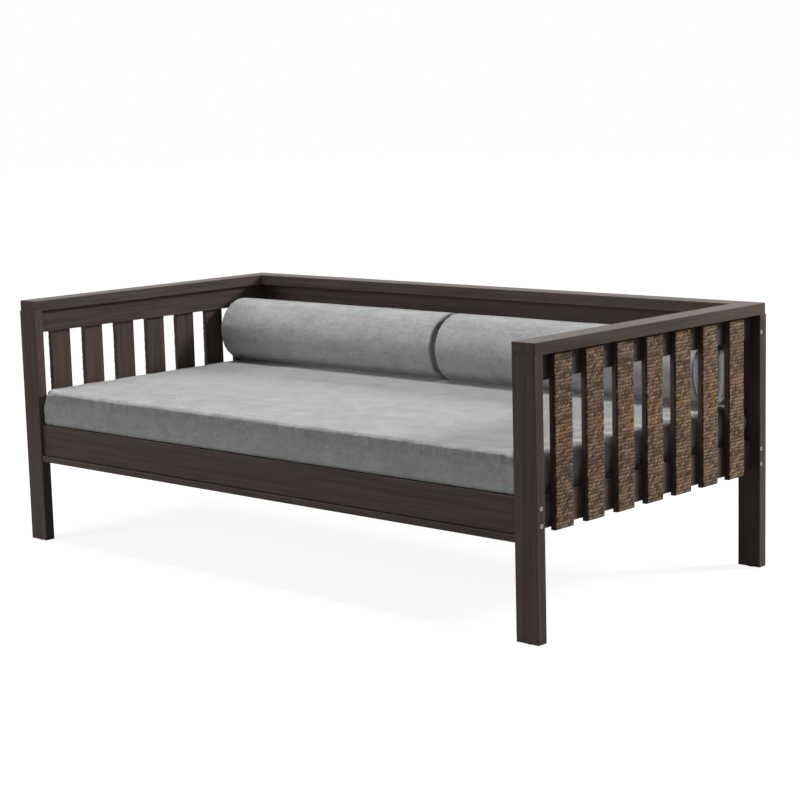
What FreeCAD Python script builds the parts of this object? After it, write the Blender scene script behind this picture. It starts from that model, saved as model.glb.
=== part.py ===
import FreeCAD, Part
import math
import os

# A three-sided daybed of dark wood with slatted ends and back, a mattress and two bolsters.
# Millimetres. X runs along the bed, Y from the front to the back, Z up.
# The origin is on the floor under the middle of the frame.

Vector = FreeCAD.Vector
os.makedirs("parts", exist_ok=True)

# Overall size of the wooden frame
length = 2050.0
depth = 1044.0
height = 760.0

# Posts and cap rails
post_width = 72.0
post_depth = 33.0
post_ease = 2.0
cap_thickness = 32.0
cap_reveal = 1.5
cap_ease = 2.0
cap_corner_round = 4.0

# Rails
rail_thickness = 18.0
rail_ease = 1.5
rail_top = 370.0
lower_rail_height = 85.0
upper_rail_height = 70.0

# Slats of the ends and the back, and the woven cladding on the end slats
end_slat_count = 7
back_slat_count = 14
slat_width = 76.0
slat_thickness = 14.0
slat_ease = 2.0
slat_drop = 8.0
slat_top_gap = 3.0
cladding_thickness = 4.0
cladding_overhang = 1.5
cladding_end_gap = 1.0
cladding_setback = 12.5
back_slat_setback = 1.0

# Front rail and the strip under it
front_rail_setback = 11.0
strip_height = 18.0
strip_depth = 28.0
strip_setback = 3.0
front_rail_drop = 115.0
groove_height = 3.0
groove_depth = 7.0

# Bed base
base_slat_count = 14
base_slat_width = 70.0
base_slat_thickness = 18.0
base_slat_end_gap = 1.0
ledger_height = 30.0
ledger_depth = 25.0
ledger_end_gap = 60.0

# Soft goods
mattress_thickness = 108.0
mattress_crown = 6.0
mattress_end_gap = 4.0
mattress_back_gap = 4.0
soft_clearance = 0.3
bolster_back_gap = 23.5
bolster_top_gap = 38.6
bolster_foot = 50.0
bolster_dome = 9.0
bolster_gap = 4.0
bolster_end_gap = 1.0

# Fasteners
bolt_radius = 3.0
bolt_clearance = 0.2
bolt_spacing = 44.0
dowel_radius = 4.0
dowel_length = 40.0
cap_dowel_length = 30.0
screw_radius = 2.0
screw_head_radius = 4.0
slat_screw_length = 28.0
frame_screw_length = 35.0
fastener_clearance = 0.1
hole_end_clearance = 1.0
glide_thickness = 3.0

# How far a cutting solid runs past the face that it cuts
overrun = 5.0

# Planes and spaces that several pieces share
left = -length / 2
right = length / 2
front = -depth / 2
back = depth / 2
clear_length = length - 2 * post_width
clear_depth = depth - 2 * post_depth
post_top = height - cap_thickness
lower_rail_bottom = rail_top - lower_rail_height
upper_rail_bottom = post_top - upper_rail_height
slat_bottom = lower_rail_bottom - slat_drop
slat_top = post_top - slat_top_gap
end_rail_setback = cladding_setback + cladding_thickness + slat_thickness
back_rail_setback = back_slat_setback + slat_thickness
front_rail_bottom = rail_top - front_rail_drop
board_bottom = front_rail_bottom + strip_height
front_board_inner = front + front_rail_setback + rail_thickness
back_rail_inner = back - back_rail_setback - rail_thickness
cap_width = post_width - cap_reveal


def block(low, high):
    """A rectangular solid between two opposite corners."""
    size = [b - a for a, b in zip(low, high)]
    return Part.makeBox(*size, Vector(*low))


def ease(shape, radius, axis, chosen=None):
    """Round the straight edges that run along an axis, or those of them that are chosen."""
    edges = []
    for edge in shape.Edges:
        if len(edge.Vertexes) != 2:
            continue
        way = edge.Vertexes[1].Point - edge.Vertexes[0].Point
        if abs(way.normalize().dot(axis)) > math.cos(math.radians(1)):
            if chosen is None or chosen(edge.CenterOfMass):
                edges.append(edge)
    return shape.makeFillet(radius, edges)


along_x = Vector(1, 0, 0)
along_y = Vector(0, 1, 0)
along_z = Vector(0, 0, 1)


def bored(shape, tools):
    """The piece with its holes cut, as one solid."""
    return shape.cut(tools).Solids[0] if tools else shape


def rod(start, way, span, radius):
    """A plain round rod or hole that starts at a point and runs along a direction."""
    return Part.makeCylinder(radius, span, start, way)


def hole(start, way, span, radius):
    """A round hole that opens through the face at its start."""
    return rod(start - way * overrun, way, span + overrun, radius)


def screw(start, way, span, clearance):
    """A countersunk wood screw with its head flush at the start, or its hole with clearance."""
    head = screw_head_radius + clearance
    shank = screw_radius + clearance
    tip = span - 2 * screw_radius
    end = span + clearance
    points = [(0, 0), (head, 0), (shank, head - shank), (shank, tip), (0, end), (0, 0)]
    outline = Part.makePolygon([Vector(r, 0, z) for r, z in points])
    solid = Part.Face(outline).revolve(Vector(0, 0, 0), along_z, 360)
    solid.Placement = FreeCAD.Placement(start, FreeCAD.Rotation(along_z, way))
    return solid


def row_of(clear, count):
    """Evenly spread centres for a row of slats in a clear space, and their pitch."""
    pitch = clear / (count + row_margin_share)
    return [(i - (count - 1) / 2) * pitch for i in range(count)], pitch


def save(name, solids):
    """Write one node: a single solid, or a group of separate ones."""
    shape = Part.makeCompound(solids) if isinstance(solids, list) else solids
    shape.exportStep("parts/" + name + ".step")


row_margin_share = 0.5
end_centres, end_pitch = row_of(clear_depth, end_slat_count)
back_centres, back_pitch = row_of(clear_length, back_slat_count)
base_centres, base_pitch = row_of(clear_length, base_slat_count)
sides = {"left": -1, "right": 1}
ends = {"front": -1, "rear": 1}


# Connector bolts: two at each end of the front rail and of the lower back rail, one at each end
# of the upper back rail. Each passes through a post into the rail's end and pulls on a barrel
# nut there. The head lies in a counterbore in the post's outer face.
bolt_head_radius = 6.0
bolt_head_thickness = 3.0
bolt_head_ease = 0.5
bolt_socket_radius = 2.3
bolt_socket_depth = 1.8
counterbore_depth = 3.5
bolt_reach = 40.0
nut_inset = 30.0
nut_radius = 5.0
nut_wall = 2.5
nut_recess = 0.5
bolt_drop = 2.5
bolt_level = lower_rail_bottom + lower_rail_height / 2 - bolt_drop
upper_bolt_share = 0.3
front_bolt_y = front + front_rail_setback + rail_thickness / 2
back_bolt_y = back - back_rail_setback - rail_thickness / 2
lower_levels = [bolt_level - bolt_spacing / 2, bolt_level + bolt_spacing / 2]
upper_level = upper_rail_bottom + upper_bolt_share * upper_rail_height

bolts = []
nuts = []
post_cuts = {(s, e): [] for s in sides for e in ends}
front_board_cuts = []
lower_back_cuts = []
upper_back_cuts = []
nut_length = rail_thickness - nut_wall - nut_recess


def bolt(y, z, side, opening, post_tools, rail_tools):
    """One bolt and its nut, and the holes that they need in the post and in the rail."""
    inward = Vector(-side, 0, 0)
    face = Vector(side * length / 2, y, z)
    seat = face + inward * counterbore_depth
    rail_end = Vector(side * clear_length / 2, y, z)
    shank_span = post_width - counterbore_depth + bolt_reach
    head = rod(seat, -inward, bolt_head_thickness, bolt_head_radius)
    rim = [e for e in head.Edges if len(e.Vertexes) == 1 and abs(e.CenterOfMass.x) > abs(seat.x)
           + bolt_head_thickness / 2]
    head = head.makeFillet(bolt_head_ease, rim)
    corners = [math.radians(60 * i) for i in range(7)]
    top = seat - inward * bolt_head_thickness
    hexagon = [top + Vector(0, bolt_socket_radius * math.cos(a), bolt_socket_radius * math.sin(a))
               for a in corners]
    socket = Part.Face(Part.makePolygon(hexagon)).extrude(inward * bolt_socket_depth)
    bolts.append(head.fuse(rod(seat, inward, shank_span, bolt_radius)).cut(socket).Solids[0])

    post_tools.append(hole(face, inward, counterbore_depth, bolt_head_radius + bolt_clearance))
    post_tools.append(hole(face, inward, post_width + overrun, bolt_radius + bolt_clearance))
    rail_tools.append(hole(rail_end, inward, bolt_reach + hole_end_clearance,
                           bolt_radius + bolt_clearance))

    nut_centre = rail_end + inward * nut_inset
    mouth = Vector(nut_centre.x, y + opening * rail_thickness / 2, z)
    into = Vector(0, -opening, 0)
    nut = rod(mouth + into * nut_recess, into, nut_length, nut_radius)
    nuts.append(nut.cut(rod(nut_centre - along_x * 2 * nut_radius, along_x, 4 * nut_radius,
                            bolt_radius + fastener_clearance)).Solids[0])
    rail_tools.append(hole(mouth, into, nut_recess + nut_length + fastener_clearance,
                           nut_radius + fastener_clearance))


for name, side in sides.items():
    for z in lower_levels:
        bolt(front_bolt_y, z, side, 1, post_cuts[name, "front"], front_board_cuts)
        bolt(back_bolt_y, z, side, -1, post_cuts[name, "rear"], lower_back_cuts)
    bolt(back_bolt_y, upper_level, side, 1, post_cuts[name, "rear"], upper_back_cuts)
save("rail_bolts", bolts)
save("barrel_nuts", nuts)


# Dowels between the end rails and the posts. They are wood pins, glued half in each piece, and
# are placed clear of the bolts.
rail_dowels = []
end_rail_cuts = {(s, level): [] for s in sides for level in ("lower", "upper")}
dowel_edge = 10.0
upper_dowel_edge = 20.0
lower_dowel_levels = [bolt_level, rail_top - dowel_edge]
upper_dowel_levels = [upper_rail_bottom + dowel_edge, post_top - upper_dowel_edge]
end_rail_x = right - end_rail_setback - rail_thickness / 2


def dowel(joint, way, span, first_tools, second_tools, pins):
    """One dowel centred on a joint, and its hole in each of the two pieces."""
    pins.append(rod(joint - way * span / 2, way, span, dowel_radius))
    half = span / 2 + hole_end_clearance
    first_tools.append(hole(joint, -way, half, dowel_radius + fastener_clearance))
    second_tools.append(hole(joint, way, half, dowel_radius + fastener_clearance))


for name, side in sides.items():
    for end, way in ends.items():
        joint_y = way * clear_depth / 2
        for level, heights in (("lower", lower_dowel_levels), ("upper", upper_dowel_levels)):
            for z in heights:
                joint = Vector(side * end_rail_x, joint_y, z)
                dowel(joint, along_y * way, dowel_length, end_rail_cuts[name, level],
                      post_cuts[name, end], rail_dowels)
save("rail_dowels", rail_dowels)


# Dowels that hold the cap rails on the posts and on the upper rails, and the back cap to the
# end caps.
cap_dowels = []
cap_cuts = {"left": [], "right": [], "back": []}
post_dowel_share = 0.2
corner_dowel_shares = (0.25, 0.75)
end_gaps = [y + end_pitch / 2 for y in end_centres[:-1]]
back_gaps = [x + back_pitch / 2 for x in back_centres[:-1]]
back_cap_inner = back - cap_width - cap_reveal
back_cap_x = clear_length / 2

for name, side in sides.items():
    for end, way in ends.items():
        for offset in (-post_dowel_share * post_width, post_dowel_share * post_width):
            x = side * (length - post_width) / 2 + offset
            joint = Vector(x, way * (depth - post_depth) / 2, post_top)
            dowel(joint, along_z, cap_dowel_length, post_cuts[name, end], cap_cuts[name], cap_dowels)
    for y in end_gaps[1::3]:
        joint = Vector(side * end_rail_x, y, post_top)
        dowel(joint, along_z, cap_dowel_length, end_rail_cuts[name, "upper"], cap_cuts[name],
              cap_dowels)
    for share in corner_dowel_shares:
        y = back_cap_inner + share * (back - post_depth - back_cap_inner)
        joint = Vector(side * back_cap_x, y, post_top + cap_thickness / 2)
        dowel(joint, along_x * side, cap_dowel_length, cap_cuts["back"], cap_cuts[name], cap_dowels)
for x in back_gaps[::3]:
    joint = Vector(x, back_bolt_y, post_top)
    dowel(joint, along_z, cap_dowel_length, upper_back_cuts, cap_cuts["back"], cap_dowels)
save("cap_dowels", cap_dowels)


# End slats with their woven cladding. The slats are screwed to the outside of the end rails,
# and the cladding is glued over the screw heads.
end_slat_screws = []
back_slat_screws = []
screw_spread_share = 0.25
screw_rise_share = 0.2
rail_spans = {"lower": (lower_rail_bottom, rail_top), "upper": (upper_rail_bottom, post_top)}


def slat_fixings(level):
    """Offset across the slat and height of the two screws at one rail, set on a diagonal."""
    low, high = rail_spans[level]
    middle = (low + high) / 2
    across = screw_spread_share * slat_width
    up = screw_rise_share * (high - low)
    return [(-across, middle - up), (across, middle + up)]


def woven_strip(side, y):
    """The cladding of one end slat, a thin strip with its outer edges rounded."""
    outer = side * (right - cladding_setback)
    inner = side * (right - cladding_setback - cladding_thickness)
    half = slat_width / 2 + cladding_overhang
    strip = block((min(outer, inner), y - half, slat_bottom + cladding_end_gap),
                  (max(outer, inner), y + half, slat_top - cladding_end_gap))
    return ease(strip, cladding_thickness / 2, along_z,
                lambda p: abs(p.x) > abs(outer + inner) / 2)


for name, side in sides.items():
    for number, y in enumerate(end_centres, 1):
        outer = right - cladding_setback - cladding_thickness
        inner = outer - slat_thickness
        ends_x = sorted((side * outer, side * inner))
        slat = block((ends_x[0], y - slat_width / 2, slat_bottom),
                     (ends_x[1], y + slat_width / 2, slat_top))
        slat = ease(slat, slat_ease, along_z)
        cuts = []
        for level in ("lower", "upper"):
            for across, z in slat_fixings(level):
                start = Vector(side * outer, y + across, z)
                way = Vector(-side, 0, 0)
                end_slat_screws.append(screw(start, way, slat_screw_length, 0))
                cutter = screw(start, way, slat_screw_length, fastener_clearance)
                cuts.append(cutter)
                end_rail_cuts[name, level].append(cutter)
        save("end_slat_%s_%d" % (name, number), bored(slat, cuts))
        save("woven_strip_%s_%d" % (name, number), woven_strip(side, y))
save("end_slat_screws", end_slat_screws)


# Back slats, screwed to the outside of the two back rails. They carry no cladding.
back_slats = []
for x in back_centres:
    outer = back - back_slat_setback
    slat = block((x - slat_width / 2, outer - slat_thickness, slat_bottom),
                 (x + slat_width / 2, outer, slat_top))
    slat = ease(slat, slat_ease, along_z)
    cuts = []
    for level, rail_tools in (("lower", lower_back_cuts), ("upper", upper_back_cuts)):
        for across, z in slat_fixings(level):
            start = Vector(x + across, outer, z)
            back_slat_screws.append(screw(start, -along_y, slat_screw_length, 0))
            cutter = screw(start, -along_y, slat_screw_length, fastener_clearance)
            cuts.append(cutter)
            rail_tools.append(cutter)
    back_slats.append(bored(slat, cuts))
save("back_slats", back_slats)
save("back_slat_screws", back_slat_screws)


# Bed base: slats screwed down on a ledger along the front rail and one along the lower back
# rail. The slats' upper faces are level with the rails.
frame_screws = []
base_slats = []
ledger_top = rail_top - base_slat_thickness
ledger_cuts = {"front": [], "back": []}
ledger_y = {"front": front_board_inner + ledger_depth / 2,
            "back": back_rail_inner - ledger_depth / 2}

for x in base_centres:
    slat = block((x - base_slat_width / 2, front_board_inner + base_slat_end_gap, ledger_top),
                 (x + base_slat_width / 2, back_rail_inner - base_slat_end_gap, rail_top))
    slat = ease(slat, slat_ease, along_y)
    cuts = []
    for name, y in ledger_y.items():
        start = Vector(x, y, rail_top)
        frame_screws.append(screw(start, -along_z, frame_screw_length, 0))
        cutter = screw(start, -along_z, frame_screw_length, fastener_clearance)
        cuts.append(cutter)
        ledger_cuts[name].append(cutter)
    base_slats.append(bored(slat, cuts))
save("base_slats", base_slats)

ledger_half = clear_length / 2 - ledger_end_gap
base_gaps = [x + base_pitch / 2 for x in base_centres[:-1]]
screw_places = base_gaps[::2]
for name, rail_tools, inward in (("front", front_board_cuts, 1), ("back", lower_back_cuts, -1)):
    y = ledger_y[name]
    near = y - ledger_depth / 2
    ledger = block((-ledger_half, near, ledger_top - ledger_height),
                   (ledger_half, near + ledger_depth, ledger_top))
    ledger = ease(ledger, rail_ease, along_x)
    for x in screw_places:
        start = Vector(x, y + inward * ledger_depth / 2, ledger_top - ledger_height / 2)
        way = Vector(0, -inward, 0)
        frame_screws.append(screw(start, way, frame_screw_length, 0))
        cutter = screw(start, way, frame_screw_length, fastener_clearance)
        ledger_cuts[name].append(cutter)
        rail_tools.append(cutter)
    save(name + "_ledger", bored(ledger, ledger_cuts[name]))


# Front rail: a board set back from the posts, with a shadow groove along its lower edge, and a
# strip under it that stands forward of the board and is screwed up into it.
strip_cuts = []
for x in screw_places:
    start = Vector(x, front_bolt_y, front_rail_bottom)
    frame_screws.append(screw(start, along_z, frame_screw_length, 0))
    cutter = screw(start, along_z, frame_screw_length, fastener_clearance)
    strip_cuts.append(cutter)
    front_board_cuts.append(cutter)
save("frame_screws", frame_screws)

board = block((-clear_length / 2, front_board_inner - rail_thickness, board_bottom),
              (clear_length / 2, front_board_inner, rail_top))
board = ease(board, rail_ease, along_x, lambda p: p.z > rail_top - rail_ease)
groove = block((-clear_length / 2 - overrun, front_board_inner - rail_thickness - overrun,
                board_bottom - overrun),
               (clear_length / 2 + overrun, front_board_inner - rail_thickness + groove_depth,
                board_bottom + groove_height))
save("front_rail", bored(board, [groove] + front_board_cuts))

strip = block((-clear_length / 2, front + strip_setback, front_rail_bottom),
              (clear_length / 2, front + strip_setback + strip_depth, board_bottom))
strip = ease(strip, rail_ease, along_x)
save("front_rail_strip", bored(strip, strip_cuts))


# The rails of the two ends and of the back.
for name, side in sides.items():
    for level, (low, high) in rail_spans.items():
        span = sorted((side * (end_rail_x - rail_thickness / 2),
                       side * (end_rail_x + rail_thickness / 2)))
        rail = block((span[0], -clear_depth / 2, low), (span[1], clear_depth / 2, high))
        rail = ease(rail, rail_ease, along_y, lambda p: p.z < low + rail_ease or level == "lower")
        save("%s_rail_%s" % (level, name), bored(rail, end_rail_cuts[name, level]))

for level, tools in (("lower", lower_back_cuts), ("upper", upper_back_cuts)):
    low, high = rail_spans[level]
    rail = block((-clear_length / 2, back_rail_inner, low),
                 (clear_length / 2, back_rail_inner + rail_thickness, high))
    rail = ease(rail, rail_ease, along_x, lambda p: p.z < low + rail_ease or level == "lower")
    save("%s_rail_back" % level, bored(rail, tools))


# Posts, and a glide nailed under each.
glide_radius = 12.0
glide_ease = 0.8
glide_pin_radius = 1.5
glide_pin_length = 15.0
glides = []

for name, side in sides.items():
    for end, way in ends.items():
        span_x = sorted((side * clear_length / 2, side * length / 2))
        span_y = sorted((way * clear_depth / 2, way * depth / 2))
        post = block((span_x[0], span_y[0], glide_thickness), (span_x[1], span_y[1], post_top))
        post = ease(post, post_ease, along_z)
        foot = Vector(side * (length - post_width) / 2, way * (depth - post_depth) / 2,
                      glide_thickness)
        disc = rod(foot - along_z * glide_thickness, along_z, glide_thickness, glide_radius)
        rim = [e for e in disc.Edges if len(e.Vertexes) == 1 and e.CenterOfMass.z < glide_thickness / 2]
        disc = disc.makeFillet(glide_ease, rim)
        glides.append(disc.fuse(rod(foot, along_z, glide_pin_length, glide_pin_radius)).Solids[0])
        post_cuts[name, end].append(hole(foot, along_z, glide_pin_length + hole_end_clearance,
                                         glide_pin_radius + fastener_clearance))
        save("post_%s_%s" % (end, name), bored(post, post_cuts[name, end]))
save("floor_glides", glides)


# Cap rails: the end caps run over both posts, and the back cap is fitted between them.
for name, side in sides.items():
    span = sorted((side * clear_length / 2, side * (length / 2 - cap_reveal)))
    cap = block((span[0], front + cap_reveal, post_top), (span[1], back - cap_reveal, height))
    cap = ease(cap, cap_corner_round, along_z, lambda p: abs(p.x) > (length - post_width) / 2)
    cap = ease(cap, cap_ease, along_y, lambda p: p.z > height - cap_ease)
    save("cap_rail_" + name, bored(cap, cap_cuts[name]))

cap = block((-back_cap_x, back_cap_inner, post_top), (back_cap_x, back - cap_reveal, height))
cap = ease(cap, cap_ease, along_x, lambda p: p.z > height - cap_ease)
save("cap_rail_back", bored(cap, cap_cuts["back"]))


# Mattress: a foam block in a fabric cover. Its top is crowned, its sides bulge between the top
# and the bottom edge, and its long sides are drawn in a little between the corners.
mattress_half = clear_length / 2 - mattress_end_gap
mattress_front = front + front_rail_setback
mattress_back = back_rail_inner - mattress_back_gap
mattress_bottom = rail_top + soft_clearance
mattress_top = mattress_bottom + mattress_thickness
top_round = 15.0
foot_round = 9.0
side_bulge = 5.0
corner_round = 26.0
drawn_in = 4.0
corner_steps = 5
middle_shares = (0.85, 0.5, 0.0)
end_crown_share = 0.4


def mattress_section(x, across, lower, crown):
    """A closed outline across the mattress, made of lines and arcs, drawn in at its sides."""
    near = mattress_front + across
    far = mattress_back - across
    low = mattress_bottom + lower * foot_round
    high = mattress_top - lower * top_round
    middle = (near + far) / 2
    waist = (low + high) / 2
    lean = 1 - math.sqrt(0.5)

    def at(y, z):
        return Vector(x, y, z)

    edges = []
    for face, way in ((near, 1), (far, -1)):
        wall = face + way * side_bulge
        foot = Part.Arc(at(wall + way * foot_round, low),
                        at(wall + way * foot_round * lean, low + foot_round * lean),
                        at(wall, low + foot_round))
        flank = Part.Arc(at(wall, low + foot_round), at(face, waist), at(wall, high - top_round))
        shoulder = Part.Arc(at(wall, high - top_round),
                            at(wall + way * top_round * lean, high - top_round * lean),
                            at(wall + way * top_round, high))
        edges += [foot.toShape(), flank.toShape(), shoulder.toShape()]
    reach = side_bulge + top_round
    edges.append(Part.Arc(at(near + reach, high), at(middle, high + crown),
                          at(far - reach, high)).toShape())
    step = side_bulge + foot_round
    edges.append(Part.makeLine(at(near + step, low), at(far - step, low)))
    return Part.Wire(Part.__sortEdges__(edges))


stations = []
for i in range(corner_steps + 1):
    turn = math.radians(90 * i / corner_steps)
    stations.append((mattress_half - corner_round * (1 - math.cos(turn)),
                     corner_round * (1 - math.sin(turn)), 1 - math.sin(turn), end_crown_share))
for share in middle_shares:
    crown_share = 1 - (1 - end_crown_share) * share ** 2
    stations.append((share * mattress_half, drawn_in * (1 - share), 0, crown_share))
rows = stations + [(-x, across, lower, rise) for x, across, lower, rise in stations[-2::-1]]
sections = [mattress_section(x, across, lower, rise * mattress_crown)
            for x, across, lower, rise in rows]
save("mattress", Part.makeLoft(sections, True, True))


# Bolsters: round cushions along the back, with a seam near each end and a slightly domed end
# disc. They lie on the mattress on a narrow flat, the foot, and reach up to a gap under the
# caps. Their ends stay clear of the end caps, past which they are lifted off. The crown under
# the foot depends on where the bolster lies, so its level and the radius settle in a few steps.
seam_draw = 2.0
seam_round = 10.0
dome_steps = 4
dome_turn = math.radians(80)
arc_count = 3
settle_steps = 6
mattress_middle = (mattress_front + mattress_back) / 2
crown_half = (mattress_back - mattress_front) / 2 - side_bulge - top_round
bolster_y = mattress_middle
for step in range(settle_steps):
    nearest = (bolster_y - bolster_foot / 2 - mattress_middle) / crown_half
    foot_level = mattress_top + mattress_crown * (1 - nearest ** 2) + soft_clearance
    bolster_height = post_top - bolster_top_gap - foot_level
    bolster_radius = (bolster_height ** 2 + (bolster_foot / 2) ** 2) / (2 * bolster_height)
    bolster_y = back_rail_inner - bolster_back_gap - bolster_radius
bolster_z = post_top - bolster_top_gap - bolster_radius
bolster_seam_length = clear_length / 2 - bolster_end_gap - bolster_gap / 2 - 2 * bolster_dome
foot_angle = math.asin(bolster_foot / 2 / bolster_radius)


def bolster_section(x, radius):
    """A round outline with a flat under it, made of one line and three arcs."""
    start = -math.pi / 2 + foot_angle
    turn = (math.pi - foot_angle) / arc_count
    points = [Vector(x, bolster_y + radius * math.cos(start + i * turn),
                     bolster_z + radius * math.sin(start + i * turn)) for i in range(2 * arc_count + 1)]
    edges = [Part.Arc(*points[2 * i:2 * i + 3]).toShape() for i in range(arc_count)]
    edges.append(Part.makeLine(points[-1], points[0]))
    return Part.Wire(edges)


for name, side in sides.items():
    middle = side * (bolster_gap / 2 + bolster_dome + bolster_seam_length / 2)
    half = bolster_seam_length / 2
    seam_radius = bolster_radius - seam_draw
    rows = [(0, bolster_radius), (half - seam_round, bolster_radius), (half, seam_radius)]
    for i in range(1, dome_steps + 1):
        turn = dome_turn * i / dome_steps
        rows.append((half + bolster_dome * math.sin(turn) / math.sin(dome_turn),
                     seam_radius * math.cos(turn)))
    rows = [(-x, radius) for x, radius in rows[:0:-1]] + rows
    save("bolster_" + name, Part.makeLoft([bolster_section(middle + x, radius)
                                           for x, radius in rows], True, True))
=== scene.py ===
"""The looks of the three-sided slatted daybed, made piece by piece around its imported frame."""

import math

import bmesh
import bpy
import numpy as np
from mathutils import Matrix, Vector, noise


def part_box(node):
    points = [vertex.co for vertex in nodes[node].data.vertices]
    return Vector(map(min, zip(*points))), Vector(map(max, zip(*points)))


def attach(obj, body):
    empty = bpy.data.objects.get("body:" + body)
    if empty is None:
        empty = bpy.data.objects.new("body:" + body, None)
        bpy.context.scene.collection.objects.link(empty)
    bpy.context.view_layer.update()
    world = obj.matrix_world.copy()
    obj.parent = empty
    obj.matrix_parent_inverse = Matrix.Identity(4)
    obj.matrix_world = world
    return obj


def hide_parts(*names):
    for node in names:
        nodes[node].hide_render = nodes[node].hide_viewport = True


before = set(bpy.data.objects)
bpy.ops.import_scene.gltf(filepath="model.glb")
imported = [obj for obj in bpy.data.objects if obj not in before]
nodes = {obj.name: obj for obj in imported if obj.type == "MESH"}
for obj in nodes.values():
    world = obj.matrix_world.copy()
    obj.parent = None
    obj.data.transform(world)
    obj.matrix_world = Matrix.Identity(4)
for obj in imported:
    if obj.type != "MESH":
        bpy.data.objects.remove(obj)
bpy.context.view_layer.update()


# View: the photograph was taken from the right front, a little above the arms, with a long lens.
# The place and angles were worked out from the corners of the frame.
picture_width = 800
focal_pixels = 1963.6
eye = (3.979, -4.213, 1.364)
heading = 0.7444
tilt_down = 0.1544
roll = -0.0264
lens_data = bpy.data.cameras.new("view")
lens_data.lens = lens_data.sensor_width * focal_pixels / picture_width
camera = bpy.data.objects.new("view", lens_data)
turn = (Matrix.Rotation(heading, 4, "Z") @ Matrix.Rotation(math.pi / 2 - tilt_down, 4, "X")
        @ Matrix.Rotation(roll, 4, "Z"))
camera.matrix_world = Matrix.Translation(eye) @ turn
bpy.context.scene.collection.objects.link(camera)
bpy.context.scene.camera = camera
bpy.context.scene.view_settings.view_transform = "Standard"


# Posts, caps, rails and slats: planed hardwood boards, stained dark espresso under a satin lacquer.
# The grain runs along each board and shows as fine darker lines with a few reddish streaks.
class Socket:
    """A socket of a node tree: sums on it add Math nodes, and node() adds any other node."""

    def __init__(self, tree, output=None):
        self.tree = tree
        self.output = output

    def node(self, kind, settings=None, inputs=None, output=0):
        """One node: its settings first, then its values and links."""
        made = self.tree.nodes.new(kind)
        for name, value in (settings or {}).items():
            setattr(made, name, value)
        for name, value in (inputs or {}).items():
            if isinstance(value, Socket):
                self.tree.links.new(value.output, made.inputs[name])
            else:
                made.inputs[name].default_value = value
        return Socket(self.tree, made.outputs[output])

    def beside(self, name):
        """Another output of the node that this socket belongs to."""
        return Socket(self.tree, self.output.node.outputs[name])

    def maths(self, operation, *terms):
        return self.node("ShaderNodeMath", {"operation": operation}, dict(enumerate(terms)))

    def __add__(self, other):
        return self.maths("ADD", self, other)

    def __radd__(self, other):
        return self.maths("ADD", other, self)

    def __sub__(self, other):
        return self.maths("SUBTRACT", self, other)

    def __rsub__(self, other):
        return self.maths("SUBTRACT", other, self)

    def __mul__(self, other):
        return self.maths("MULTIPLY", self, other)

    def __rmul__(self, other):
        return self.maths("MULTIPLY", other, self)

    def __truediv__(self, other):
        return self.maths("DIVIDE", self, other)

    def __pow__(self, other):
        return self.maths("POWER", self, other)

    def between(self, low, high):
        """0 below the low value, 1 above the high one, and smooth between them."""
        return self.node("ShaderNodeMapRange", {"interpolation_type": "SMOOTHSTEP"},
                         {"Value": self, "From Min": low, "From Max": high})

    def mixed(self, first, second):
        """The first colour where this value is 0 and the second where it is 1."""
        colours = [part if isinstance(part, Socket) else (*part, 1) for part in (first, second)]
        return self.node("ShaderNodeMix", {"data_type": "RGBA"},
                         {0: self, 6: colours[0], 7: colours[1]}, 2)

    def scaled(self, x, y, z):
        """This place, scaled along each axis: under 1 draws a texture out along it."""
        return self.node("ShaderNodeMapping", inputs={"Vector": self, "Scale": (x, y, z)})

    def mottled(self, scale, detail, roughness=0.5, distortion=0.0):
        """Cloudy noise over this place."""
        return self.node("ShaderNodeTexNoise", inputs={
            "Vector": self, "Scale": scale, "Detail": detail,
            "Roughness": roughness, "Distortion": distortion})

    def relief(self, strength, distance):
        """The surface's direction where this value is its height."""
        return self.node("ShaderNodeBump", inputs={
            "Height": self, "Strength": strength, "Distance": distance})


def new_finish(name):
    """A new material: its empty tree as a socket, its place texture and its shader."""
    material = bpy.data.materials.new(name)
    material.use_nodes = True
    tree = Socket(material.node_tree)
    place = tree.node("ShaderNodeTexCoord", output="Object")
    shader = material.node_tree.nodes["Principled BSDF"]
    return material, tree, place, shader


def feed(tree, shader, **sockets):
    """Gives the shader's sockets their values and links. An underscore stands for a space."""
    for name, value in sockets.items():
        socket = shader.inputs[name.replace("_", " ")]
        if isinstance(value, Socket):
            tree.tree.links.new(value.output, socket)
        else:
            socket.default_value = value


def along_grain(place, grain, share):
    """The place with its scale cut to a share along the grain."""
    return place.scaled(*(share if axis == grain else 1.0 for axis in "xyz"))


espresso_deep = (0.068, 0.050, 0.0445)
espresso_pale = (0.100, 0.0755, 0.0675)
espresso_red = (0.124, 0.084, 0.069)
espresso_pore = (0.022, 0.016, 0.014)


def stained_wood(grain):
    """The dark lacquered wood, with its grain along one axis."""
    material, tree, place, shader = new_finish("espresso_wood_" + grain)
    drawn_out = along_grain(place, grain, 0.035)
    pores = drawn_out.mottled(scale=620.0, detail=3.0, roughness=0.6)
    figure = drawn_out.mottled(scale=95.0, detail=4.0, roughness=0.55, distortion=0.4)
    stain = drawn_out.mottled(scale=16.0, detail=2.0)
    base = figure.between(0.32, 0.68).mixed(espresso_deep, espresso_pale)
    warm = (0.6 * stain.between(0.50, 0.68)).mixed(base, espresso_red)
    dark = pores.between(0.60, 0.72)
    feed(tree, shader, Base_Color=(0.4 * dark).mixed(warm, espresso_pore),
         Roughness=0.36 + 0.14 * stain + 0.10 * dark,
         Normal=(0.3 * figure - 0.7 * dark).relief(strength=0.16, distance=0.0006),
         Specular_IOR_Level=0.07)
    return material


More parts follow.
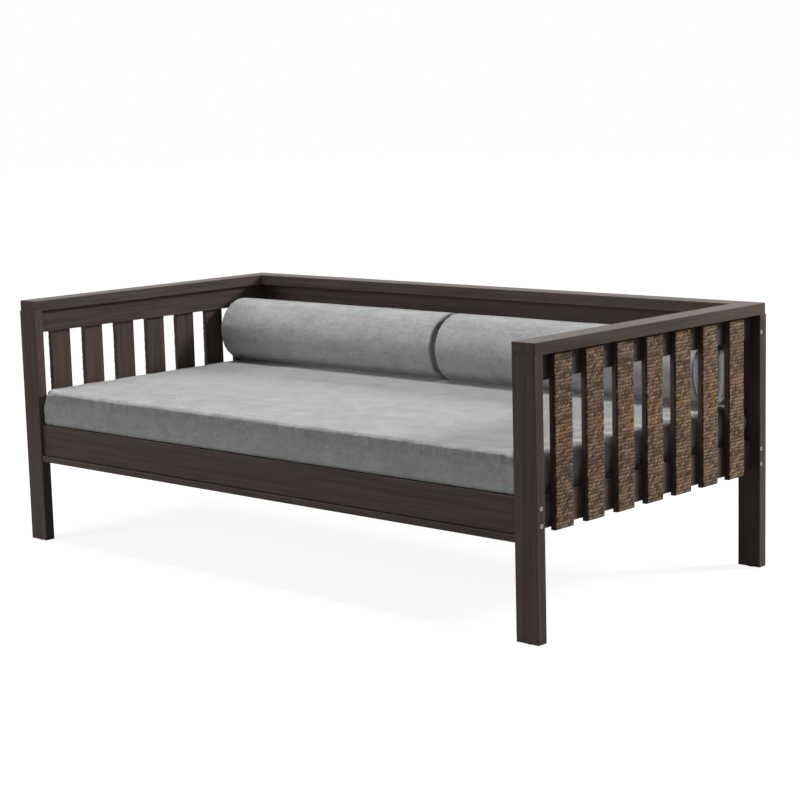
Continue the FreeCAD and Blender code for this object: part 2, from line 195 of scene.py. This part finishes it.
def dress(material, *names):
    """Puts a material on the frame's own pieces."""
    for name in names:
        data = nodes[name].data
        data.materials.clear()
        data.materials.append(material)


sides = {"left": -1, "right": 1}
slats_per_end = 7
slat_numbers = range(1, slats_per_end + 1)
woods = {grain: stained_wood(grain) for grain in "xyz"}
dress(woods["x"], "front_rail", "front_rail_strip", "cap_rail_back", "upper_rail_back",
      "lower_rail_back")
dress(woods["z"], "back_slats")
for end in sides:
    dress(woods["y"], "cap_rail_" + end, "upper_rail_" + end, "lower_rail_" + end)
    dress(woods["z"], "post_front_" + end, "post_rear_" + end)
    dress(woods["z"], *("end_slat_%s_%d" % (end, i) for i in slat_numbers))


# Bed base: plain planed softwood slats on two ledgers, left without stain because the mattress
# hides them. Beech dowels hold the end frames and caps.
def plain_wood(name, grain, pale, deep):
    """Unstained wood: soft growth bands along the grain."""
    material, tree, place, shader = new_finish(name)
    drawn_out = along_grain(place, grain, 0.05)
    rings = drawn_out.mottled(scale=110.0, detail=3.0, distortion=0.8)
    fine = drawn_out.mottled(scale=700.0, detail=2.0)
    feed(tree, shader, Base_Color=rings.between(0.38, 0.66).mixed(pale, deep),
         Roughness=0.55 + 0.2 * fine,
         Normal=(rings + 0.5 * fine).relief(strength=0.2, distance=0.0005))
    return material


pine = {"pale": (0.60, 0.43, 0.25), "deep": (0.46, 0.29, 0.14)}
beech = {"pale": (0.62, 0.48, 0.32), "deep": (0.52, 0.37, 0.22)}
dress(plain_wood("base_pine_x", "x", **pine), "front_ledger", "back_ledger")
dress(plain_wood("base_pine_y", "y", **pine), "base_slats")
dress(plain_wood("dowel_beech", "x", **beech), "rail_dowels", "cap_dowels")


# Bolts, nuts and screws: zinc plated steel with a faint brushed and speckled surface.
zinc_deep = (0.26, 0.25, 0.24)
zinc_pale = (0.42, 0.41, 0.40)
material, tree, place, shader = new_finish("zinc_plated_steel")
speckle = place.mottled(scale=900.0, detail=2.0)
feed(tree, shader, Base_Color=speckle.between(0.3, 0.7).mixed(zinc_deep, zinc_pale),
     Metallic=1.0, Roughness=0.24 + 0.2 * speckle)
dress(material, "rail_bolts", "barrel_nuts", "end_slat_screws", "back_slat_screws", "frame_screws")


# Floor glides: matt black moulded plastic discs nailed under the posts.
plastic_deep = (0.016, 0.016, 0.016)
plastic_pale = (0.034, 0.034, 0.034)
material, tree, place, shader = new_finish("glide_plastic")
grit = place.mottled(scale=1500.0, detail=1.0)
feed(tree, shader, Base_Color=grit.between(0.3, 0.7).mixed(plastic_deep, plastic_pale),
     Roughness=0.5 + 0.2 * grit)
dress(material, "floor_glides")


# Woven cladding: each end slat's outer face carries a strip of twisted plant fibre cords, laid in
# level rows and pressed flat. The strands of a cord show as slanting lobes, and the gaps between
# them are darkened with painted shade.
strip_low, strip_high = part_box("woven_strip_right_1")
strip_wide = strip_high.y - strip_low.y
strip_tall = strip_high.z - strip_low.z
strip_margin = 0.003
cord_rows = 47
steps_in_row = 6
steps_across = 36
row_flatness = 3.9
row_least = 0.08
lobe_fullness = 0.6
lobe_least = 0.35
gold_from, gold_to, gold_top = (0.42, 0.47), (0.60, 0.66), (0.975, 0.98)

# Cords and lobes are numbered from here, above zero. A lobe's random numbers come from its own
# number and its cord's, which counts by a stride.
first_row = 20
first_lobe = 40
tone_stride = 57
gold_stride = 91
seed_step = 10
weave_values = {
    "Wide": strip_wide - 2 * strip_margin, "Tall": strip_tall, "Thick": 0.0050,
    "Rows": cord_rows, "Lobe pitch": 0.0150, "Lean": 0.35, "Wander": 0.5,
    "Edge": 0.003, "Ragged": 0.0014, "Seed": 0}
fibre_deep = (0.085, 0.055, 0.035)
fibre_pale = (0.385, 0.248, 0.158)
fibre_gold = (0.56, 0.30, 0.08)
# The next colour is painted shade for the hollows between the cords' lobes and rows.
hollow_shade_colour = (0.022, 0.016, 0.012)


def woven_finish():
    """Dry brown fibre with golden threads, and painted shade in its hollows. The weave marks where."""
    material, tree, place, shader = new_finish("woven_fibre")
    hollow_shade, tone, gold = (
        tree.node("ShaderNodeAttribute", {"attribute_name": mark}, output="Fac")
        for mark in ("hollow_shade", "tone", "gold"))
    threads = place.scaled(1, 0.35, 1).mottled(scale=1400.0, detail=2.0)
    fibre = (0.6 * tone + 0.4 * threads).between(0.2, 0.8).mixed(fibre_deep, fibre_pale)
    golden = (gold * threads.between(0.44, 0.58)).mixed(fibre, fibre_gold)
    # Painted shade: the hollows between the lobes and rows are darkened in the colour.
    feed(tree, shader, Base_Color=hollow_shade.between(0.22, 0.80).mixed(golden, hollow_shade_colour),
         Roughness=0.66 + 0.2 * threads,
         Normal=threads.relief(strength=0.6, distance=0.0008), Specular_IOR_Level=0.12)
    return material


def cord_relief(tree, size, position):
    """The weave over a flat place: across, up, how far it stands out, and its marks."""

    def chance(low, high, number, stream):
        """A random number for a cord or a lobe, the same each run."""
        return tree.node("FunctionNodeRandomValue", {"data_type": "FLOAT"},
                         {2: low, 3: high, "ID": number, "Seed": size["Seed"] + stream}, 1)

    across = tree.node("ShaderNodeSeparateXYZ", inputs={0: position})
    up = across.beside("Y")
    height = up / size["Tall"] + 0.5
    drift = position.mottled(scale=32.0, detail=2.0)
    wander = position.mottled(scale=45.0, detail=1.0)

    row_place = height * size["Rows"] + size["Wander"] * (drift - 0.5) * 2 + first_row
    row = tree.maths("FLOOR", row_place)
    offset = row_place - row - 0.5
    row_swell = row_least + (1 - row_least) * tree.maths("SQRT", 1 - row_flatness * offset * offset)

    pitch = size["Lobe pitch"] * chance(0.85, 1.2, row, 1)
    twist = size["Lean"] * chance(0.2, 1.8, row, 8)
    lobe_place = across / pitch - twist * offset * 2 + chance(0, 1, row, 2)
    lobe_place = lobe_place + 1.2 * wander + first_lobe
    lobe = tree.maths("FLOOR", lobe_place)
    lobe_arch = tree.maths("SINE", (lobe_place - lobe) * math.pi) ** lobe_fullness
    lobe_swell = lobe_least + (1 - lobe_least) * lobe_arch

    reach = size["Wide"] * 0.5 - tree.maths("ABSOLUTE", across)
    ragged_reach = reach + size["Ragged"] * chance(-1, 0.6, row, 3)
    edge_swell = tree.maths("SQRT", (ragged_reach / size["Edge"]).between(-0.4, 1.0))

    swell = row_swell * lobe_swell * edge_swell
    depth = size["Thick"] * (0.25 + swell * chance(0.62, 0.75, row, 4))

    lobe_tone = chance(0, 1, lobe + row * tone_stride, 5)
    row_tone = chance(0, 1, row, 7)
    tone = 0.65 * lobe_tone + 0.15 * row_tone + 0.2 * drift.between(0.3, 0.7)
    middle_band = height.between(*gold_from) * (1 - height.between(*gold_to))
    band = middle_band + height.between(*gold_top)
    gold = band * chance(0, 1, lobe + row * gold_stride, 6).between(0.70, 0.80)
    # The hollow mark serves only to paint shade into the fibre's colour.
    return across, up, depth, {"hollow_shade": 1 - swell, "tone": tone, "gold": gold}


def weave_tree(finish):
    """Geometry Nodes for one strip: a grid pressed into rows of cord, its sides turned back."""
    group = bpy.data.node_groups.new("cord_weave", "GeometryNodeTree")
    group.interface.new_socket("Geometry", in_out="OUTPUT", socket_type="NodeSocketGeometry")
    sizes = {}
    for name, value in weave_values.items():
        kind = "NodeSocketInt" if isinstance(value, int) else "NodeSocketFloat"
        sizes[name] = group.interface.new_socket(name, in_out="INPUT", socket_type=kind).identifier
    tree = Socket(group)
    given = group.nodes.new("NodeGroupInput")
    size = {name: Socket(group, given.outputs[name]) for name in sizes}
    grid = tree.node("GeometryNodeMeshGrid", inputs={
        "Size X": size["Wide"], "Size Y": size["Tall"],
        "Vertices X": steps_across + 1, "Vertices Y": cord_rows * steps_in_row + 1})

    position = tree.node("GeometryNodeInputPosition")
    across, up, depth, marks = cord_relief(tree, size, position)
    raised = tree.node("ShaderNodeCombineXYZ", inputs={0: across, 1: up, 2: depth})
    pressed = tree.node("GeometryNodeSetPosition", inputs={"Geometry": grid, "Position": raised})
    for name, value in marks.items():
        pressed = tree.node(
            "GeometryNodeStoreNamedAttribute", {"data_type": "FLOAT", "domain": "POINT"},
            {"Geometry": pressed, "Name": name, "Value": value})

    faces = tree.node("GeometryNodeInputMeshEdgeNeighbors")
    border = tree.node("FunctionNodeCompare", {"data_type": "INT", "operation": "EQUAL"},
                       {2: faces, 3: 1})
    skirt = tree.node("GeometryNodeExtrudeMesh", {"mode": "EDGES"}, {
        "Mesh": pressed, "Selection": border, "Offset Scale": 0.0})
    flat = tree.node("ShaderNodeCombineXYZ", inputs={0: across, 1: up, 2: 0.0})
    closed = tree.node("GeometryNodeSetPosition", inputs={
        "Geometry": skirt, "Selection": skirt.beside("Top"), "Position": flat})
    smooth = tree.node("GeometryNodeSetShadeSmooth", inputs={"Geometry": closed})
    plain = tree.node("GeometryNodeRealizeInstances", inputs={"Geometry": smooth})
    dressed = tree.node("GeometryNodeSetMaterial", inputs={"Geometry": plain, "Material": finish})
    result = group.nodes.new("NodeGroupOutput")
    group.links.new(dressed.output, result.inputs[0])
    return group, sizes


def new_piece(name, data):
    """A new object with this mesh or lamp, in the scene."""
    piece = bpy.data.objects.new(name, data)
    bpy.context.scene.collection.objects.link(piece)
    return piece


def settled(piece):
    """The piece's mesh with its modifiers applied, as a new plain object of the same name."""
    bpy.context.view_layer.update()
    seen = piece.evaluated_get(bpy.context.evaluated_depsgraph_get())
    data = bpy.data.meshes.new_from_object(seen)
    name = piece.name
    bpy.data.objects.remove(piece)
    data.name = name
    return new_piece(name, data)


def woven_strip(node, side, seed):
    """One strip of the weave, closed at its back and stood on its slat's outer face."""
    low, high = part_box(node)
    foot = high.x if side < 0 else low.x
    strip = new_piece(node.replace("woven_strip", "cord_weave"), bpy.data.meshes.new("strip"))
    woven = strip.modifiers.new("weave", "NODES")
    woven.node_group = weave
    for name, value in weave_values.items():
        woven[weave_sizes[name]] = value
    woven[weave_sizes["Lean"]] = side * weave_values["Lean"]
    woven[weave_sizes["Seed"]] = seed
    strip = settled(strip)
    mesh = bmesh.new()
    mesh.from_mesh(strip.data)
    bmesh.ops.holes_fill(mesh, edges=[edge for edge in mesh.edges if edge.is_boundary])
    for vertex in mesh.verts:
        across, up, out = vertex.co
        vertex.co = (foot + side * out, (low.y + high.y) / 2 + across, (low.z + high.z) / 2 + up)
    bmesh.ops.recalc_face_normals(mesh, faces=mesh.faces)
    mesh.to_mesh(strip.data)
    mesh.free()
    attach(strip, "frame")
    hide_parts(node)


weave, weave_sizes = weave_tree(woven_finish())
for end, side in sides.items():
    for i in slat_numbers:
        woven_strip("woven_strip_%s_%d" % (end, i), side, seed_step * i + side)


# Mattress: a foam block in a mid grey velour cover. The cover bulges between its top and bottom
# edges, the top is crowned, and the nap shows soft cloudy marks where it was brushed. Its ends
# swell out between the posts, and its top is pressed down by the bolsters.
velour_deep = (0.315, 0.315, 0.318)
velour_pale = (0.435, 0.435, 0.438)
# The band under the front's top edge where the creases lie; their hollows get painted shade.
crease_band_low = (0.430, 0.462)
crease_band_high = (0.468, 0.476)


def velour_finish():
    """Grey velour: brushed clouds, tufts of nap, and creases in a band under the top edge, whose
    hollows carry painted shade.
    """
    material, tree, place, shader = new_finish("grey_velour")
    clouds = place.mottled(scale=14.0, detail=3.0, roughness=0.6)
    brushed = place.scaled(0.35, 1, 1).mottled(scale=60.0, detail=3.0, roughness=0.6)
    nap = place.mottled(scale=620.0, detail=3.0, roughness=0.7)
    tufts = place.scaled(0.7, 1, 1).mottled(scale=150.0, detail=2.0, roughness=0.6)
    gathers = place.scaled(1, 0.2, 0.16).mottled(scale=55.0, detail=1.0)
    level = tree.node("ShaderNodeSeparateXYZ", inputs={0: place}).beside("Z")
    under_edge = level.between(*crease_band_low) * (1 - level.between(*crease_band_high))
    gathered = under_edge * clouds.between(0.40, 0.60)
    # Painted shade: the hollows of the gathers under the top edge are darkened in the colour.
    creases = gathered * (1 - gathers.between(0.40, 0.54))
    tone_with_crease_shade = 0.28 * clouds + 0.24 * brushed + 0.3 * tufts + 0.18 * nap - 0.13 * creases
    height = nap + 0.6 * brushed + 1.4 * tufts + 12.0 * gathers * gathered
    feed(tree, shader, Base_Color=tone_with_crease_shade.between(0.38, 0.62).mixed(velour_deep, velour_pale),
         Roughness=0.85, Normal=height.relief(strength=0.4, distance=0.0012),
         Specular_IOR_Level=0.15, Sheen_Weight=0.9, Sheen_Roughness=0.2)
    return material


def spread(half, edge, cell):
    """Places along one side of the block: close together over its rounded edges, even between."""
    fine = 3
    edges = [half - edge + edge * i / fine for i in range(1, fine + 1)]
    count = round(2 * (half - edge) / cell)
    flat = [(half - edge) * (2 * i / count - 1) for i in range(count + 1)]
    return [-place for place in edges[::-1]] + flat + edges


def piece_of(mesh, name):
    """The finished mesh as a new object, with its faces turned outward."""
    bmesh.ops.recalc_face_normals(mesh, faces=mesh.faces)
    data = bpy.data.meshes.new(name)
    mesh.to_mesh(data)
    mesh.free()
    return new_piece(name, data)


weld_distance = 1e-5


def block(name, low, high, edge, cell):
    """A closed block of even quads with rounded edges."""
    half = (high - low) / 2
    middle = (high + low) / 2
    inner = half - Vector((edge, edge, edge))
    places = [spread(part, edge, cell) for part in half]
    mesh = bmesh.new()
    for axis in range(3):
        first, second = (axis + 1) % 3, (axis + 2) % 3
        for way in (-1, 1):
            rows = []
            for a in places[first]:
                row = []
                for b in places[second]:
                    point = Vector((0, 0, 0))
                    point[axis] = way * half[axis]
                    point[first] = a
                    point[second] = b
                    core = Vector([max(-c, min(c, p)) for p, c in zip(point, inner)])
                    row.append(mesh.verts.new(middle + core + edge * (point - core).normalized()))
                rows.append(row)
            for near, far in zip(rows, rows[1:]):
                for i in range(len(near) - 1):
                    corners = (near[i], far[i], far[i + 1], near[i + 1])
                    mesh.faces.new(corners if way > 0 else corners[::-1])
    bmesh.ops.remove_doubles(mesh, verts=mesh.verts, dist=weld_distance)
    return piece_of(mesh, name)


def puffed(piece, limit, pressure=4.0, frames=12, even_share=0.85):
    """Swells the cover up to a limit. Part of it follows a cloth that is blown up by pressure:
    most at its slack middle, least at its edges. The rest is even."""
    before = np.array([vertex.co for vertex in piece.data.vertices])
    outward = np.array([vertex.normal for vertex in piece.data.vertices])
    swelling = 1.0
    cover = new_piece("cover", piece.data.copy())
    cloth = cover.modifiers.new("cover", "CLOTH")
    cloth.settings.use_pressure = True
    cloth.settings.uniform_pressure_force = pressure
    cloth.settings.effector_weights.gravity = 0.0
    for step in range(1, frames + 1):
        bpy.context.scene.frame_set(step)
    cover = settled(cover)
    move = np.array([vertex.co for vertex in cover.data.vertices]) - before
    bpy.context.scene.frame_set(1)
    bpy.data.objects.remove(cover)
    along = np.sum(move * outward, axis=1, keepdims=True)
    swelling = even_share + (1 - even_share) * np.clip(along / limit, -1, 1)
    piece.data.vertices.foreach_set("co", (before + limit * swelling * outward).ravel())


def smoothstep(low, high, value):
    """0 at the low value, 1 at the high one, and smooth between them."""
    share = max(0.0, min(1.0, (value - low) / (high - low)))
    return share * share * (3 - 2 * share)


def subdivided(piece):
    """The piece with one level of subdivision applied."""
    finer = piece.modifiers.new("finer", "SUBSURF")
    finer.levels = 1
    finer.render_levels = 1
    return settled(piece)


def ripple(waves, first, second, layer):
    """Soft noise from -1 to 1 over a place: the matrix gives its waves a metre."""
    return noise.noise(Vector((*(waves @ Vector((first, second))), layer)))


low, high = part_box("mattress")
half = (high - low) / 2
middle = (high + low) / 2
bolster_low, bolster_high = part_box("bolster_left")
bolster_radius = (bolster_high.y - bolster_low.y) / 2
bolster_axis = Vector((0, (bolster_low.y + bolster_high.y) / 2, bolster_high.z - bolster_radius))
post_gap = 0.001
rail_gap = 0.0015
post_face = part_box("post_front_left")[1].y + post_gap
rail_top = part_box("lower_rail_left")[1].z + post_gap
rail_inner = -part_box("lower_rail_left")[1].x - rail_gap

# The block, how far its cover swells, and its corners, which are rounded, drawn in and lowered.
mattress_edge = 0.008
mattress_corner = 0.030
mattress_crown = 0.006
cover_swell = 0.004
cover_cell = 0.016
corner_width = 0.06
corner_drop = 0.006
pull_least, pull_top, pull_bottom = 0.004, 0.012, 0.005
pull_top_part, pull_bottom_part = (-0.2, 1.0), (0.2, -1.0)
pull_across_share = 0.4

# The top: long waves, slanting creases, gathers along the front edge and the bolsters' dents.
top_part = (0.2, 0.9)
wave_height = 0.0016
long_waves = Matrix(((2.6, 2.0), (-2.0, 10.0)))
crease_least, crease_more = 0.0006, 0.0026
creases = Matrix(((9.0, 5.0), (-17.0, 34.0)))
crease_from, crease_to = (0.35, -0.10), (-0.25, -0.42)
gathers = Matrix.Diagonal((45.0, 2.0))
gather_groups = 2.6
gather_pattern = (0.3, 2.0)
gather_group_part = (-0.25, 0.35)
gather_slope = 0.5
gather_end = 0.35
gather_rise = 0.0012
gather_edge_part = (0.88, 0.98)
dent_gap = 0.0006
foot_gap = 0.0004
foot_half = 0.03

# The front leans back and has tucks and waves. The back is drawn in at its edges.
face_part = (0.93, 1.0)
front_lean = 0.0075
front_lean_height = 0.030
front_top_lean = 0.003
front_top_part = (0.3, 1.0)
front_tuck = 0.0018
front_tuck_part = (-0.2, 0.6)
front_wave = 0.0016
front_waves = Matrix.Diagonal((9.0, 5.0))
back_tuck = 0.002

# The ends swell out between the posts, and sag where no base slat carries them.
end_part = (0.94, 1.0)
end_reach = 0.036
end_flat_share = 0.62
end_wave = 0.0015
end_waves = Matrix.Diagonal((6.0, 14.0))
corner_guard = 0.012
sag_depth = 0.0105
sag_from, sag_to = 0.895, 0.920
sag_ease_from, sag_ease_to = 0.002, 0.034

inset = Vector((cover_swell, cover_swell, cover_swell))
top_drop = Vector((0, 0, mattress_crown))
flat_half = Vector((half.x, half.y, half.z - mattress_crown / 2))
flat_middle = middle - top_drop / 2


def rounded_corner(x, y):
    """The place after the square corners of the plan are rounded."""
    past_x = abs(x) - (half.x - mattress_corner)
    past_y = abs(y - middle.y) - (half.y - mattress_corner)
    if min(past_x, past_y) <= 0:
        return x, y
    shrink = max(past_x, past_y) / math.hypot(past_x, past_y) - 1
    return (x + math.copysign(past_x * shrink, x),
            y + math.copysign(past_y * shrink, y - middle.y))


def top_rise(x, y, along, across, gather):
    """How far the top stands up: its crown, long waves, and slanting creases at the left front."""
    crown = (1 - min(1, along ** 4)) * (1 - min(1, across ** 4))
    creased = smoothstep(crease_from[1], crease_to[1], y) * smoothstep(crease_from[0], crease_to[0], x)
    crease_height = crease_least + crease_more * creased * crown
    front_edge = smoothstep(*gather_edge_part, -across)
    return (mattress_crown * crown + wave_height * ripple(long_waves, x, y, layer=1.0)
            + crease_height * ripple(creases, x, y, layer=5.0) + gather_rise * gather * front_edge)


def under_bolster(y, z):
    """The level after the bolster has pressed the top down."""
    beside = y - bolster_axis.y
    if abs(beside) >= bolster_radius:
        return z
    dent = bolster_axis.z - math.sqrt(bolster_radius ** 2 - beside ** 2) - dent_gap
    foot = bolster_low.z - foot_gap if abs(beside) < foot_half else z
    return min(z, dent, foot)


def front_move(x, z, level, belly, gather):
    """How far the front face leans back towards its top, with its tucks and waves."""
    lean = front_lean * (1 - math.exp(-(z - low.z) / front_lean_height))
    lean -= front_top_lean * smoothstep(*front_top_part, level)
    tuck = front_tuck * gather * smoothstep(*front_tuck_part, level)
    return lean + tuck + front_wave * ripple(front_waves, x, z, layer=8.0) * belly


def cover_place(point):
    """Where a point of the plain block lies on the finished cover. Along, across and level run
    from -1 to 1 over the block's length, depth and height."""
    along, across, level = [(c - m) / h for c, m, h in zip(point, flat_middle, flat_half)]
    x, y = rounded_corner(point.x, point.y)
    z = point.z
    belly = 1 - min(1.0, level ** 2)
    corner = (smoothstep(half.x - corner_width, half.x, abs(x))
              * smoothstep(half.y - corner_width, half.y, abs(y - middle.y)))
    pull = corner * (pull_least + pull_top * smoothstep(*pull_top_part, level)
                     + pull_bottom * smoothstep(*pull_bottom_part, level))
    x -= math.copysign(pull, x)
    y -= math.copysign(pull_across_share * pull, y - middle.y)

    group = noise.noise(Vector((gather_groups * x, *gather_pattern)))
    group -= gather_slope * (x + gather_end)
    gather = ripple(gathers, x, z, layer=9.0) * smoothstep(*gather_group_part, group)
    top = smoothstep(*top_part, level)
    z += top * (top_rise(x, y, along, across, gather * top) - corner_drop * corner)
    if level > 0:
        z = under_bolster(y, z)
    y += smoothstep(*face_part, -across) * front_move(x, z, level, belly, gather)
    y -= smoothstep(*face_part, across) * back_tuck * (1 - belly)

    beyond = smoothstep(*end_part, abs(along)) * smoothstep(post_face, post_face + corner_guard, y)
    bulge = end_reach * (end_flat_share + (1 - end_flat_share) * belly)
    bulge += end_wave * ripple(end_waves, y, z, layer=3.0)
    x += math.copysign(beyond * bulge, x)
    sag = smoothstep(sag_from, sag_to, abs(x))
    sag *= smoothstep(post_face + sag_ease_from, post_face + sag_ease_to, y)
    z -= sag_depth * sag * smoothstep(0.0, -1.0, level)
    if z < rail_top:
        x = math.copysign(min(abs(x), rail_inner), x)
    return x, y, z


def covered(piece, node):
    """Puts the velour on a cover, which stands for one soft piece of the frame and rides on it."""
    piece.data.materials.append(velour)
    for polygon in piece.data.polygons:
        polygon.use_smooth = True
    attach(piece, node)
    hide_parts(node)


velour = velour_finish()
mattress = block("mattress_cover", low + inset, high - inset - top_drop, mattress_edge, cover_cell)
puffed(mattress, cover_swell)
mattress = subdivided(mattress)
for vertex in mattress.data.vertices:
    vertex.co = cover_place(vertex.co)
covered(mattress, "mattress")


# Bolsters: two round cushions along the back, filled with fibre in the same grey velour. Each end
# is a round disc, sewn on with a raised seam and domed by the filling.
seam_inner = 0.012
seam_outer = 0.956
seam_round = 0.006
seam_depth = 0.006
seam_steps = 5
groove_width = 0.003
groove_round = 0.001
end_dome = 0.008
rings_along = 130
rings_on_dome = 10
points_round = 120
bolster_swell = 0.002
body_wave = 0.0014
body_waves = Vector((5, 30, 30))
seam_wave = 0.0018
seam_waves = 11
seam_reach = 0.03
wave_free_part = (-1.0, -0.8)
bolster_half = (seam_outer - seam_inner) / 2
quarter = math.pi / 2


def bolster_rows(half, radius):
    """The places and radii of the rings from the middle of the cushion to the tip of its dome."""
    body = (half - seam_round) * 2
    rows = [(body * i / rings_along, radius) for i in range(rings_along // 2 + 1)]
    for i in range(1, seam_steps + 1):
        turn = quarter * i / seam_steps
        rows.append((half - seam_round * (1 - math.sin(turn)),
                     radius - seam_round * (1 - math.cos(turn))))
    disc = radius - seam_round - groove_width
    rows.append((half - 0.5 * seam_depth, disc + groove_round))
    for i in range(rings_on_dome):
        turn = quarter * i / rings_on_dome
        rows.append((half - seam_depth + end_dome * math.sin(turn), disc * math.cos(turn)))
    return rows


def bolster_form(name, centre, radius, side):
    """The round cushion as rings along its axis, closed by a point at each end."""
    middle = side * (seam_inner + seam_outer) / 2
    rows = bolster_rows(bolster_half, radius)
    rows = [(-x, ring) for x, ring in rows[:0:-1]] + rows
    mesh = bmesh.new()
    rings = []
    for x, ring in rows:
        loop = []
        for i in range(points_round):
            turn = 2 * math.pi * i / points_round
            y = centre.y + ring * math.cos(turn)
            z = centre.z + ring * math.sin(turn)
            loop.append(mesh.verts.new((middle + x, y, z)))
        rings.append(loop)
    for first, second in zip(rings, rings[1:]):
        for i in range(points_round):
            j = (i + 1) % points_round
            mesh.faces.new((first[i], first[j], second[j], second[i]))
    tip_reach = bolster_half - seam_depth + end_dome
    for loop, way in ((rings[0], -1), (rings[-1], 1)):
        tip = mesh.verts.new((middle + way * tip_reach, centre.y, centre.z))
        for i in range(points_round):
            mesh.faces.new((loop[i], loop[(i + 1) % points_round], tip))
    return piece_of(mesh, name)


for end, side in sides.items():
    node = "bolster_" + end
    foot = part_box(node)[0].z
    bolster = bolster_form("bolster_cover_" + end, bolster_axis, bolster_radius - bolster_swell, side)
    puffed(bolster, bolster_swell)
    for vertex in bolster.data.vertices:
        x, y, z = vertex.co
        turn = math.atan2(z - bolster_axis.z, y - bolster_axis.y)
        out = Vector((0, math.cos(turn), math.sin(turn)))
        to_seam = min(abs(abs(x) - seam_inner), abs(abs(x) - seam_outer))
        near_seam = math.exp(-(to_seam / seam_reach) ** 2)
        rise = body_wave * noise.noise(body_waves * vertex.co)
        rise += seam_wave * near_seam * noise.noise(Vector((side, 0, 0)) + seam_waves * out)
        vertex.co += out * rise * smoothstep(*wave_free_part, math.sin(turn))
        vertex.co.z = max(vertex.co.z, foot)
    covered(bolster, node)


# Floor and light: a white studio sweep with a strong soft light high overhead, one behind the right
# end and a weak one at the left front, so that upright faces are much darker than level ones.
def seen_by_camera(tree):
    """1 for rays of the picture, also past a glossy or clear surface, and 0 for light."""
    rays = tree.node("ShaderNodeLightPath", output="Is Camera Ray")
    seen = tree.maths("MAXIMUM", rays, rays.beside("Is Glossy Ray"))
    return tree.maths("MAXIMUM", seen, rays.beside("Is Transmission Ray"))


def grey(value):
    return (value, value, value)


floor_half = 30.0
sweep_from, sweep_to = 1.4, 3.2
corners = [(-floor_half, -floor_half, 0), (floor_half, -floor_half, 0),
           (floor_half, floor_half, 0), (-floor_half, floor_half, 0)]
data = bpy.data.meshes.new("floor")
data.from_pydata(corners, [], [(0, 1, 2, 3)])
floor = new_piece("floor", data)
material, tree, place, shader = new_finish("studio_floor")
from_middle = tree.node("ShaderNodeVectorMath", {"operation": "LENGTH"}, {0: place}, "Value")
far = from_middle.between(sweep_from, sweep_to)
near_white = far.mixed(grey(0.90), grey(1.0))
feed(tree, shader, Base_Color=far.mixed(grey(0.25), grey(0.10)), Roughness=1.0,
     Specular_IOR_Level=0.0, Emission_Strength=1.0,
     Emission_Color=seen_by_camera(tree).mixed(grey(0), near_white))
data.materials.append(material)

studio_light = (0.092, 0.094, 0.099)
world = bpy.data.worlds.new("studio")
bpy.context.scene.world = world
world.use_nodes = True
tree = Socket(world.node_tree)
level = seen_by_camera(tree).mixed(studio_light, grey(1))
world.node_tree.links.new(level.output, world.node_tree.nodes["Background"].inputs["Color"])


def soft_light(name, place, aim, size, watts):
    """A square soft box that looks at a point."""
    lamp = bpy.data.lights.new(name, "AREA")
    lamp.shape = "SQUARE"
    lamp.size = size
    lamp.energy = watts
    way = (Vector(aim) - Vector(place)).to_track_quat("-Z", "Y")
    box = new_piece(name, lamp)
    box.matrix_world = Matrix.Translation(place) @ way.to_matrix().to_4x4()


soft_light("overhead", (-0.6, -0.3, 5.6), (-0.1, 0, 0.4), size=1.6, watts=232)
soft_light("right_rear", (3.8, 3.9, 3.1), (0.9, 0, 0.45), size=1.2, watts=290)
soft_light("left_front", (-3.0, -6.7, 2.8), (-0.2, 0, 0.4), size=2.6, watts=142)
